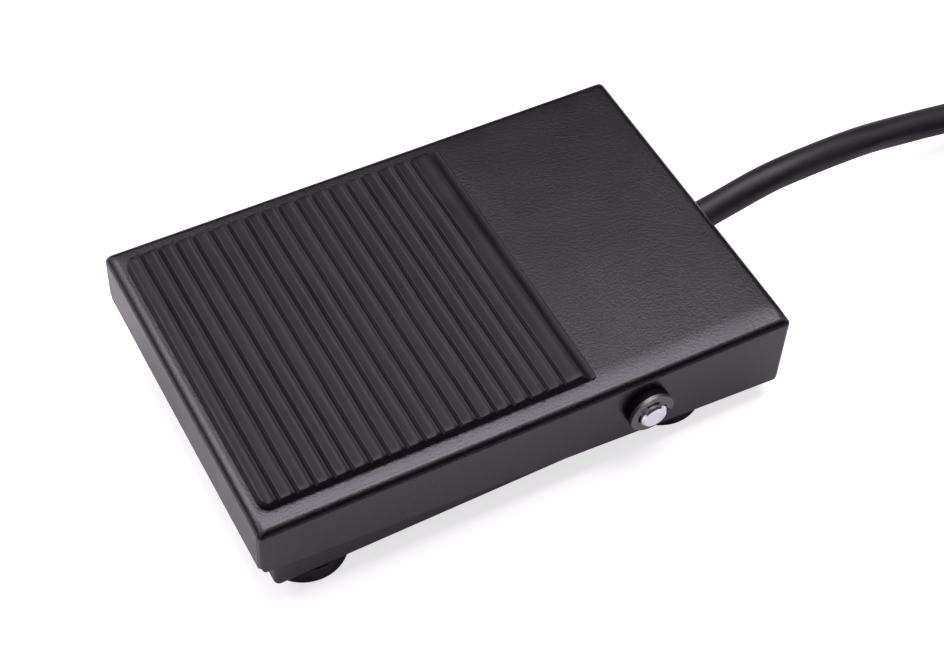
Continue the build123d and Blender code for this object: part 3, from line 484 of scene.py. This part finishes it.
def finishes(paint, mat, lead):
    """Every finish of the object, by the record's name for it."""
    return {
        "cover_paint": powder_coat("cover_powder_coat", paint.cover_colour, paint.grain, paint.grain_depth),
        "tray_paint": powder_coat("tray_powder_coat", paint.tray_colour, paint.grain, paint.grain_depth),
        "mat_rubber": moulded_rubber("mat_rubber", mat.colour, 0.38, 0.17),
        "foot_rubber": moulded_rubber("foot_rubber", (0.008, 0.0075, 0.008), 0.55, 0.3),
        "zinc_steel": plain_metal("zinc_plated_steel", (0.86, 0.9, 0.95), 0.2, 1.6 * mm, 0.004 * mm),
        "black_spring_steel": plain_metal("oxide_black_steel", (0.15, 0.143, 0.15), 0.42),
        # The bush's nylon is really black, but its colour is set still darker and its reflection nearly off as
        # painted shade, so its lit side reads as the shadow round the clip
        "black_nylon": moulded_plastic("black_nylon", (0.0025, 0.0025, 0.0026), 0.6, 0.06),
        "spring_steel": plain_metal("spring_steel", (0.5, 0.5, 0.5), 0.28),
        "switch_plastic": moulded_plastic("switch_thermoset", (0.02, 0.02, 0.021), 0.35),
        "plunger_plastic": moulded_plastic("plunger_nylon", (0.45, 0.05, 0.04), 0.35),
        "tinned_brass": plain_metal("tinned_brass", (0.72, 0.68, 0.58)),
        "aluminium_rivet": plain_metal("rivet_aluminium", (0.8, 0.8, 0.8), 0.35),
        "fibre_sheet": moulded_plastic("pressed_fibre", (0.5, 0.46, 0.38), 0.7, 0.3),
        "lead_sheath": sheath("lead_sheath", lead.colour),
        "core_brown": moulded_plastic("brown_core", (0.18, 0.07, 0.03)),
        "core_blue": moulded_plastic("blue_core", (0.05, 0.14, 0.45)),
        "core_green": striped_core("green_yellow_core"),
        "tie_nylon": moulded_plastic("tie_nylon", (0.015, 0.015, 0.015)),
        "copper_strand": plain_metal("copper_strand", (0.75, 0.42, 0.28), 0.35),
    }


def material_of(slot):
    """The finish made for one of the record's slots."""
    return bpy.data.materials[bpy.context.scene["finish_" + slot]]


class FOOTSWITCH_OT_finishes(Operator):
    """Makes the finishes and puts them on the parts carried over from CAD"""
    bl_idname = "footswitch.finishes"
    bl_label = "Finish CAD parts"

    def execute(self, context):
        scene = context.scene
        made = finishes(scene.switch_paint, scene.switch_mat, scene.switch_lead)
        for slot, material in made.items():
            scene["finish_" + slot] = material.name
        for part in frame["record"]["subparts"]:
            node = frame["nodes"][part["node"]]
            node.data.materials.clear()
            node.data.materials.append(made[part["material_slot"]])
        return {"FINISHED"}


def coil_points(settings):
    """Control points of the coil: a spiral in on the floor, a climb, and a spiral out on top."""
    per_turn = settings.points_per_turn
    # The share of its control points' radius at which a quadratic curve passes them
    corner_share = (6 + 2 * cos(2 * pi / per_turn)) / 8
    pitch = settings.coil_pitch
    outer = settings.coil_radius
    inner = outer - turns_in * pitch
    low_z = lead_route[-1][2] * mm
    points = []
    for step in range(1, int(coil_turns * per_turn)):
        turn = step / per_turn
        climb = min(1.0, max(0.0, (turn - turns_in) / climb_turns))
        if climb == 0.0:
            radius = outer - pitch * turn
        elif climb < 1.0:
            radius = inner - climb_tuck * sin(pi * climb)
        else:
            radius = inner + pitch * (turn - turns_in - climb_turns)
        angle = pi / 2 - 2 * pi * turn
        reach = radius / corner_share
        points.append(coil_centre + Vector((reach * cos(angle), reach * sin(angle), low_z + pitch * climb)))
    return points


def route_curve(name, points):
    """A NURBS curve with the points as its control points, ending at the first and last."""
    curve = bpy.data.curves.new(name, "CURVE")
    curve.dimensions = "3D"
    curve.resolution_u = 6
    spline = curve.splines.new("NURBS")
    spline.points.add(len(points) - 1)
    for control, point in zip(spline.points, points):
        control.co = (*point, 1.0)
    spline.order_u = 3
    spline.use_endpoint_u = True
    return placed(name, curve)


def add_tube_uv(bm, sides, ring_places, radius):
    """UVs in metres: along the tube, and round it."""
    layer = bm.loops.layers.uv.new("UVMap")
    for face in bm.faces:
        rings = [divmod(loop.vert.index, sides) for loop in face.loops]
        wraps = max(side for _, side in rings) - min(side for _, side in rings) > sides / 2
        for loop, (ring, side) in zip(face.loops, rings):
            turned = side + sides if wraps and side < sides / 2 else side
            loop[layer].uv = (ring_places[ring], turned / sides * 2 * pi * radius)


def lead_tube(curve_object, settings):
    """A closed tube along the route, swollen a little over its three twisted cores, and its path."""
    line = bpy.data.meshes.new_from_object(curve_object)
    path = [vertex.co.copy() for vertex in line.vertices]
    curve_object.data.bevel_depth = settings.diameter / 2
    curve_object.data.bevel_resolution = 6
    tube = bpy.data.meshes.new_from_object(curve_object)
    sides = len(tube.vertices) // len(path)
    ring_places = [0.0]
    for before, after in zip(path, path[1:]):
        ring_places.append(ring_places[-1] + (after - before).length)
    bm = bmesh.new()
    bm.from_mesh(tube)
    for vertex in bm.verts:
        ring, side = divmod(vertex.index, sides)
        around = 2 * pi * side / sides + 2 * pi * ring_places[ring] / settings.core_lay
        outward = vertex.co - path[ring]
        loose = 0.6 + 0.8 * noise.noise(path[ring] * swell_changes)
        swell = settings.core_swell * loose * (cos(3 * around) - 1) / outward.length
        vertex.co = path[ring] + outward * (1 + swell)
    add_tube_uv(bm, sides, ring_places, settings.diameter / 2)
    fill_open_ends(bm)
    bmesh.ops.recalc_face_normals(bm, faces=bm.faces)
    bpy.data.objects.remove(curve_object)
    return bm, path


class FOOTSWITCH_OT_lead(Operator):
    """Makes the free lead with its put-away coil"""
    bl_idname = "footswitch.lead"
    bl_label = "Make lead"

    def execute(self, context):
        settings = context.scene.switch_lead
        points = [Vector(point) * mm for point in lead_route]
        points += coil_points(settings)
        points += [Vector(point) * mm for point in tail_route]
        bm, path = lead_tube(route_curve("lead_line", points), settings)
        lead = piece_from(bm, "free_lead", "lead_sheath", 60)
        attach(lead, "base")
        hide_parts("cord_lead", "cord_coil", "cord_tail")
        return {"FINISHED"}


def tie_band(bm):
    """The tie's strip, a rounded rectangle round one side of the coil."""
    corners = [
        bm.verts.new((x, -tie_width / 2, z))
        for x, z in ((tie_inner_radius, tie_low), (tie_outer_radius, tie_low),
                     (tie_outer_radius, tie_high), (tie_inner_radius, tie_high))
    ]
    loop = [bm.edges.new((corners[i], corners[(i + 1) % 4])) for i in range(4)]
    band = bmesh.ops.extrude_edge_only(bm, edges=loop)["geom"]
    bmesh.ops.translate(bm, verts=[item for item in band if is_vertex(item)], vec=(0, tie_width, 0))
    across = [edge for edge in bm.edges if abs(edge.verts[0].co.y - edge.verts[1].co.y) > tie_width / 2]
    round_off(bm, across, tie_bend, 6)
    bmesh.ops.recalc_face_normals(bm, faces=bm.faces)
    bmesh.ops.solidify(bm, geom=bm.faces[:], thickness=-tie_thickness)


def add_tie_head(bm):
    """The tie's head, a rounded block on top of the strip."""
    place = Matrix.Translation(((tie_inner_radius + tie_outer_radius) / 2 + tie_head_offset, 0,
                                tie_high + tie_thickness + tie_head.z / 2))
    head = bmesh.ops.create_cube(bm, size=1.0, matrix=place @ Matrix.Diagonal((*tie_head, 1)))["verts"]
    round_off(bm, list({edge for vertex in head for edge in vertex.link_edges}), tie_head_round, 3)
    bmesh.ops.recalc_face_normals(bm, faces=bm.faces)


class FOOTSWITCH_OT_tie(Operator):
    """Makes the nylon tie round the coil"""
    bl_idname = "footswitch.tie"
    bl_label = "Make tie"

    def execute(self, context):
        bm = bmesh.new()
        tie_band(bm)
        add_tie_head(bm)
        on_coil = Matrix.Translation(coil_centre) @ Matrix.Rotation(tie_turn, 4, "Z")
        bmesh.ops.transform(bm, matrix=on_coil, verts=bm.verts)
        tie = piece_from(bm, "lead_tie", "tie_nylon")
        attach(tie, "base")
        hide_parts("coil_tie")
        return {"FINISHED"}


def mat_stations(settings):
    """Places along the mat, from the cover's front edge, with its height at each, in metres."""
    stations = [(place * mm, height * mm) for place, height in front_wall]
    for rib in range(settings.rib_count):
        middle = settings.first_rib + rib * settings.rib_pitch
        is_last = rib == settings.rib_count - 1
        for place, share in rib_shoulder + (last_crest if is_last else rib_crest):
            if rib > 0 or place > first_rib_start:
                stations.append((middle + place * mm, settings.groove_height + share * settings.rib_relief))
    return stations + [(place * mm, height * mm) for place, height in rear_step]


def mat_rows(half_width):
    """Rows across the mat: its place and the share of the full height there."""
    first = half_width - side_wall[-1][0] * mm
    rows = [(-half_width + inset * mm, share) for inset, share in side_wall]
    rows += [(-first + 2 * first * step / level_rows, 1.0) for step in range(1, level_rows)]
    rows += [(half_width - inset * mm, share) for inset, share in reversed(side_wall)]
    return rows


def wander(along, across, scales):
    """Smooth noise at a place on the mat, from about -1 to 1."""
    return noise.noise(Vector((along * scales[0], across * scales[1], scales[2])))


def into_corner(settings, place, to_side, shifted, front, rear):
    """A place along the mat, moved in where a rounded corner cuts it."""
    for end, sign, corner in ((front, 1, settings.front_corner), (rear, -1, settings.rear_corner)):
        depth = (place - end) * sign
        if to_side < corner and depth < corner:
            arc = corner - (corner ** 2 - (corner - to_side) ** 2) ** 0.5
            shifted = max(shifted * sign, (end + sign * arc) * sign) * sign
    return shifted


def mat_point(settings, half_width, station, row, front, rear):
    """A point of the mat's skin, with its lean, ragged crests, waver and rounded corners."""
    place, height = station
    across, share = row
    lift = height * share
    side = 1 if across > 0 else -1
    to_side = half_width - abs(across)
    lean = settings.side_draft * lift / settings.groove_height
    across -= side * lean * max(0.0, 1 - to_side / lean_reach)
    risen = (height - settings.groove_height) / settings.rib_relief
    crest = max(0.0, risen - ragged_start) / (1 - ragged_start)
    ragged = (0.5 + wander(place, side, ragged_noise)) * max(0.0, 1 - to_side / ragged_reach)
    across += side * settings.crest_end * crest * ragged * share ** 4
    if share == 1.0:
        lift += settings.unevenness * wander(place, across, height_noise)
    free = min(1.0, (place - front) / waver_front, (rear - place) / waver_rear)
    strays = max(0.0, min(1.0, to_side / waver_side) * free)
    shifted = place + settings.waver * wander(place, across, waver_noise) * strays
    shifted = into_corner(settings, place, to_side, shifted, front, rear)
    return cover_front + shifted, across, cover_top + lift


def mat_skin(settings, half_width):
    """The mat's top, front, rear and side walls, open below."""
    stations = mat_stations(settings)
    rows = mat_rows(half_width)
    front, rear = stations[0][0], stations[-1][0]
    bm = bmesh.new()
    bmesh.ops.create_grid(bm, x_segments=len(stations) - 1, y_segments=len(rows) - 1, size=0.5)
    for vertex in bm.verts:
        station = stations[round((vertex.co.x + 0.5) * (len(stations) - 1))]
        row = rows[round((vertex.co.y + 0.5) * (len(rows) - 1))]
        vertex.co = mat_point(settings, half_width, station, row, front, rear)
    return bm


def crown_reach(paint):
    """How far in from the cover's outer faces its top becomes level."""
    return fold_radius + paint.crown_width


def crown_fall(paint, place):
    """How far the cover's top droops at a place beside its folds, most beside the near long one."""
    along = min(place.x - cover_front, cover_rear - place.x) - fold_radius
    across = cover_half_width - abs(place.y) - fold_radius
    ends, sides = (max(0.0, 1.0 - max(0.0, inside) / paint.crown_width) ** 2 for inside in (along, across))
    return paint.crown_drop * max(end_droop * ends, (1.0 if place.y < 0 else far_droop) * sides)


def close_below(bm, paint):
    """Walls down to the cover and an underside that follows the cover's droop."""
    rim = [edge for edge in bm.edges if edge.is_boundary]
    foot = {item for item in bmesh.ops.extrude_edge_only(bm, edges=rim)["geom"] if is_vertex(item)}
    for vertex in foot:
        vertex.co.z = cover_top
    fill_open_ends(bm)
    inner = crown_reach(paint)
    for axis, place in ((0, cover_front + inner), (1, cover_half_width - inner), (1, inner - cover_half_width)):
        spot, direction = plane_at(axis, place)
        under = [face for face in bm.faces if all(vertex in foot for vertex in face.verts)]
        around = {edge for face in under for edge in face.edges}
        cut = bmesh.ops.bisect_plane(bm, geom=under + list(around), plane_co=spot, plane_no=direction)
        foot.update(item for item in cut["geom_cut"] if is_vertex(item))
    for vertex in foot:
        vertex.co.z = cover_top - crown_fall(paint, vertex.co)


class FOOTSWITCH_OT_mat(Operator):
    """Makes the ribbed rubber mat on the pedal"""
    bl_idname = "footswitch.mat"
    bl_label = "Make ribbed mat"

    def execute(self, context):
        low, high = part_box("tread_mat")
        bm = mat_skin(context.scene.switch_mat, (high.y - low.y) / 2)
        close_below(bm, context.scene.switch_paint)
        bmesh.ops.recalc_face_normals(bm, faces=bm.faces)
        bmesh.ops.transform(bm, matrix=pedal_tilt, verts=bm.verts)
        mat = piece_from(bm, "ribbed_mat", "mat_rubber", 50)
        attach(mat, "pedal")
        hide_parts("tread_mat")
        return {"FINISHED"}


def cad_copy(node):
    """The CAD solid's mesh with its split vertices joined."""
    bm = bmesh.new()
    bm.from_mesh(frame["nodes"][node].data)
    bmesh.ops.remove_doubles(bm, verts=bm.verts, dist=weld_distance)
    return bm


def sheet_copy(node):
    """The CAD sheet's mesh with its flats made whole."""
    bm = cad_copy(node)
    bmesh.ops.dissolve_limit(bm, angle_limit=flat_angle, verts=bm.verts, edges=bm.edges)
    return bm


def cut_at(bm, axis, place):
    """A row of edges where a plane square to an axis meets the sheet."""
    spot, direction = plane_at(axis, place)
    bmesh.ops.bisect_plane(bm, geom=bm.verts[:] + bm.edges[:] + bm.faces[:], dist=cut_distance,
                           plane_co=spot, plane_no=direction)


def fold_rise(radius, beyond):
    """How wide a fold's quarter circle still is at a distance beyond its foot."""
    beyond = min(radius, max(0.0, beyond))
    return (radius ** 2 - beyond ** 2) ** 0.5


def round_corners(bm, low, high, radius, inset_at):
    """Rounds the upright corners of a folded box in plan, and the corners of its folds with them."""
    for share in corner_cuts:
        for axis in (0, 1):
            cut_at(bm, axis, low[axis] + share * radius)
            cut_at(bm, axis, high[axis] - share * radius)
    for vertex in bm.verts:
        inset = inset_at(vertex.co.z)
        depths = [min(vertex.co[axis] - low[axis], high[axis] - vertex.co[axis]) - inset for axis in (0, 1)]
        if min(depths) < -corner_slack or max(depths) >= radius:
            continue
        reach = radius - min(depths)
        turn = (radius - max(depths)) / reach * pi / 4
        for axis in (0, 1):
            nearest = depths[axis] == min(depths)
            pulled = inset + radius - reach * (cos(turn) if nearest else sin(turn))
            lower = vertex.co[axis] - low[axis] < high[axis] - vertex.co[axis]
            vertex.co[axis] = low[axis] + pulled if lower else high[axis] - pulled


def true_flats(piece):
    """Keeps the shading of flat faces level next to small rounded edges."""
    weights = piece.modifiers.new("true_flats", "WEIGHTED_NORMAL")
    weights.keep_sharp = True
    weights.weight = 50


class FOOTSWITCH_OT_cover(Operator):
    """Makes the folded pedal cover, whose top droops a little beside its folds"""
    bl_idname = "footswitch.cover"
    bl_label = "Make pedal cover"

    def execute(self, context):
        paint = context.scene.switch_paint
        fold_foot = cover_top - fold_radius
        bm = sheet_copy("pedal_cover")
        bmesh.ops.transform(bm, matrix=pedal_tilt.inverted(), verts=bm.verts)
        sharp = [edge for edge in bm.edges if edge.is_manifold and edge.calc_face_angle() > edge_angle]
        round_off(bm, sharp, paint.edge_round, 3, clamped=True)
        round_corners(bm, (cover_front, -cover_half_width), (cover_rear, cover_half_width), paint.corner_radius,
                      lambda z: fold_radius - fold_rise(fold_radius, z - fold_foot))
        for share in crown_cuts:
            inside = fold_radius + paint.crown_width * share
            for axis, place in ((0, cover_front + inside), (0, cover_rear - inside),
                                (1, inside - cover_half_width), (1, cover_half_width - inside)):
                cut_at(bm, axis, place)
        for vertex in bm.verts:
            level = min(1.0, max(0.0, (vertex.co.z - fold_foot) / (fold_radius - cover_sheet)))
            vertex.co.z -= crown_fall(paint, vertex.co) * level
        bmesh.ops.transform(bm, matrix=pedal_tilt, verts=bm.verts)
        cover = piece_from(bm, "folded_cover", "cover_paint", 35)
        true_flats(cover)
        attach(cover, "pedal")
        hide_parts("pedal_cover")
        return {"FINISHED"}


class FOOTSWITCH_OT_tray(Operator):
    """Makes the base tray with its corners rounded in plan"""
    bl_idname = "footswitch.tray"
    bl_label = "Make base tray"

    def execute(self, context):
        low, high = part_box("base_tray")
        bm = sheet_copy("base_tray")
        fold_foot = low.z + tray_fold_radius
        round_corners(bm, low, high, context.scene.switch_paint.corner_radius,
                      lambda z: tray_fold_radius - fold_rise(tray_fold_radius, fold_foot - z))
        tray = piece_from(bm, "painted_tray", "tray_paint", 35)
        true_flats(tray)
        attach(tray, "base")
        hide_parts("base_tray")
        return {"FINISHED"}


class FOOTSWITCH_OT_spring(Operator):
    """Makes the return spring with a mesh of its own; the real spring shortens under the pressed pedal"""
    bl_idname = "footswitch.spring"
    bl_label = "Make return spring"

    def execute(self, context):
        spring = piece_from(cad_copy("return_spring"), "coil_spring", "spring_steel", 50)
        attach(spring, "base")
        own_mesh(spring)
        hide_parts("return_spring")
        return {"FINISHED"}


def area_lamp(name, place, target, size, power):
    """A soft rectangular lamp that faces a point."""
    lamp = bpy.data.lights.new(name, "AREA")
    lamp.shape = "RECTANGLE"
    lamp.size, lamp.size_y = size
    lamp.energy = power
    made = placed(name, lamp)
    made.location = place
    made.rotation_mode = "QUATERNION"
    made.rotation_quaternion = (Vector(target) - Vector(place)).to_track_quat("-Z", "Y")


def seen_rays(tree):
    """1 for rays from the camera, in reflections and through clear things, and 0 for other light."""
    rays = tree.nodes.new("ShaderNodeLightPath")
    joined = rays.outputs["Is Camera Ray"]
    for kind in ("Is Glossy Ray", "Is Transmission Ray"):
        either = tree.nodes.new("ShaderNodeMath")
        either.operation = "MAXIMUM"
        tree.links.new(joined, either.inputs[0])
        tree.links.new(rays.outputs[kind], either.inputs[1])
        joined = either.outputs[0]
    return joined


def choose_seen(tree, unseen, seen, end):
    """One shader for the light that isn't seen, and another where the thing is seen or reflected."""
    choice = tree.nodes.new("ShaderNodeMixShader")
    tree.links.new(seen_rays(tree), choice.inputs["Fac"])
    tree.links.new(unseen.outputs[0], choice.inputs[1])
    tree.links.new(seen.outputs[0], choice.inputs[2])
    tree.links.new(choice.outputs[0], tree.nodes[end].inputs["Surface"])


def background_world(scene):
    """White where it is seen or reflected, softer as a light on the object."""
    scene.world = bpy.data.worlds.new("studio")
    scene.world.use_nodes = True
    tree = scene.world.node_tree
    lit = tree.nodes["Background"]
    seen = tree.nodes.new("ShaderNodeBackground")
    for background, strength in ((lit, world_light), (seen, 1.0)):
        background.inputs["Color"].default_value = (1, 1, 1, 1)
        background.inputs["Strength"].default_value = strength
    choose_seen(tree, lit, seen, "World Output")


def floor_material(colour, lift, gloss_lift):
    """Pale floor with a shadow, white where it is seen, and less bright in reflections."""
    material = bpy.data.materials.new("studio_floor")
    material.use_nodes = True
    tree = material.node_tree
    shader_input(tree, "Base Color").default_value = (*colour, 1)
    shader_input(tree, "Roughness").default_value = 1.0
    shader_input(tree, "Specular IOR Level").default_value = 0.0
    glow = tree.nodes.new("ShaderNodeEmission")
    glow.inputs["Color"].default_value = (1, 1, 1, 1)
    rays = tree.nodes.new("ShaderNodeLightPath")
    strength = spread(tree, rays.outputs["Is Camera Ray"], gloss_lift, lift, 0.0, 1.0)
    tree.links.new(strength, glow.inputs["Strength"])
    shader = tree.nodes["Principled BSDF"]
    both = tree.nodes.new("ShaderNodeAddShader")
    tree.links.new(shader.outputs[0], both.inputs[0])
    tree.links.new(glow.outputs[0], both.inputs[1])
    choose_seen(tree, shader, both, "Material Output")
    return material


def card_material(name, grey):
    """An even glow of the given brightness."""
    material = bpy.data.materials.new(name)
    material.use_nodes = True
    tree = material.node_tree
    shade = tree.nodes.new("ShaderNodeEmission")
    shade.inputs["Color"].default_value = (grey, grey, grey, 1)
    tree.links.new(shade.outputs[0], tree.nodes["Material Output"].inputs["Surface"])
    return material


def grey_card(name, middle, facing, width, height, grey):
    """An upright studio card that only reflections show, to shade the sides of the gloss."""
    bm = bmesh.new()
    stand = Matrix.Translation(middle) @ Vector(facing).to_track_quat("Z", "Y").to_matrix().to_4x4()
    bmesh.ops.create_grid(bm, x_segments=1, y_segments=1, size=0.5,
                          matrix=stand @ Matrix.Diagonal((width, height, 1, 1)))
    made = placed(name, mesh_from(bm, name))
    made.data.materials.append(card_material(name, grey))
    made.visible_camera = False
    made.visible_diffuse = False
    made.visible_transmission = False
    made.visible_shadow = False


def studio_floor(settings):
    """A wide level floor at the height of the feet."""
    bm = bmesh.new()
    bmesh.ops.create_grid(bm, x_segments=1, y_segments=1, size=settings.floor_size / 2)
    ground = placed("floor", mesh_from(bm, "floor"))
    ground.data.materials.append(
        floor_material(settings.floor_colour, settings.floor_lift, settings.floor_gloss_lift))


def photo_camera(focal_length):
    """A camera that sees the object as the photograph does."""
    lens = bpy.data.cameras.new("photo_camera")
    lens.sensor_fit = "HORIZONTAL"
    lens.sensor_width = 36.0
    lens.lens = focal_length
    lens.clip_start = 10 * mm
    camera = placed("photo_camera", lens)
    camera.location = Vector(camera_place) * mm
    camera.rotation_euler = [radians(turn) for turn in camera_turns]
    return camera


class FOOTSWITCH_OT_stage(Operator):
    """Makes the floor, the lamps and the camera"""
    bl_idname = "footswitch.stage"
    bl_label = "Make stage"

    def execute(self, context):
        scene = context.scene
        settings = scene.switch_stage
        scene.view_settings.view_transform = "Standard"
        studio_floor(settings)
        background_world(scene)
        for name, place, target, size, share in softboxes:
            area_lamp(name, place, target, size, settings.lamp_power * share)
        for name, middle, facing, width, height in cards:
            grey_card(name, middle, facing, width, height, settings.card_grey)
        scene.camera = photo_camera(settings.lens)
        return {"FINISHED"}


class FOOTSWITCH_PT_panel(Panel):
    """Lists the foot switch's pieces and their settings"""
    bl_label = "Foot Switch"
    bl_idname = "FOOTSWITCH_PT_panel"
    bl_space_type = "VIEW_3D"
    bl_region_type = "UI"
    bl_category = "Foot Switch"

    def draw(self, context):
        layout = self.layout
        for operator in build_order:
            layout.operator("footswitch." + operator)
        for settings in (context.scene.switch_paint, context.scene.switch_mat,
                         context.scene.switch_lead, context.scene.switch_stage):
            box = layout.box()
            for name in settings.bl_rna.properties.keys():
                if name not in ("rna_type", "name"):
                    box.prop(settings, name)


build_order = ["finishes", "cover", "tray", "spring", "mat", "tie", "lead", "stage"]
classes = (LeadSettings, MatSettings, PaintSettings, StageSettings,
           FOOTSWITCH_OT_finishes, FOOTSWITCH_OT_cover, FOOTSWITCH_OT_tray, FOOTSWITCH_OT_spring,
           FOOTSWITCH_OT_mat, FOOTSWITCH_OT_tie, FOOTSWITCH_OT_lead, FOOTSWITCH_OT_stage,
           FOOTSWITCH_PT_panel)


def register():
    for item in classes:
        bpy.utils.register_class(item)
    bpy.types.Scene.switch_lead = PointerProperty(type=LeadSettings)
    bpy.types.Scene.switch_mat = PointerProperty(type=MatSettings)
    bpy.types.Scene.switch_paint = PointerProperty(type=PaintSettings)
    bpy.types.Scene.switch_stage = PointerProperty(type=StageSettings)


def unregister():
    del bpy.types.Scene.switch_stage
    del bpy.types.Scene.switch_paint
    del bpy.types.Scene.switch_mat
    del bpy.types.Scene.switch_lead
    for item in reversed(classes):
        bpy.utils.unregister_class(item)


def main():
    register()
    for operator in build_order:
        getattr(bpy.ops.footswitch, operator)()


if __name__ == "__main__":
    main()
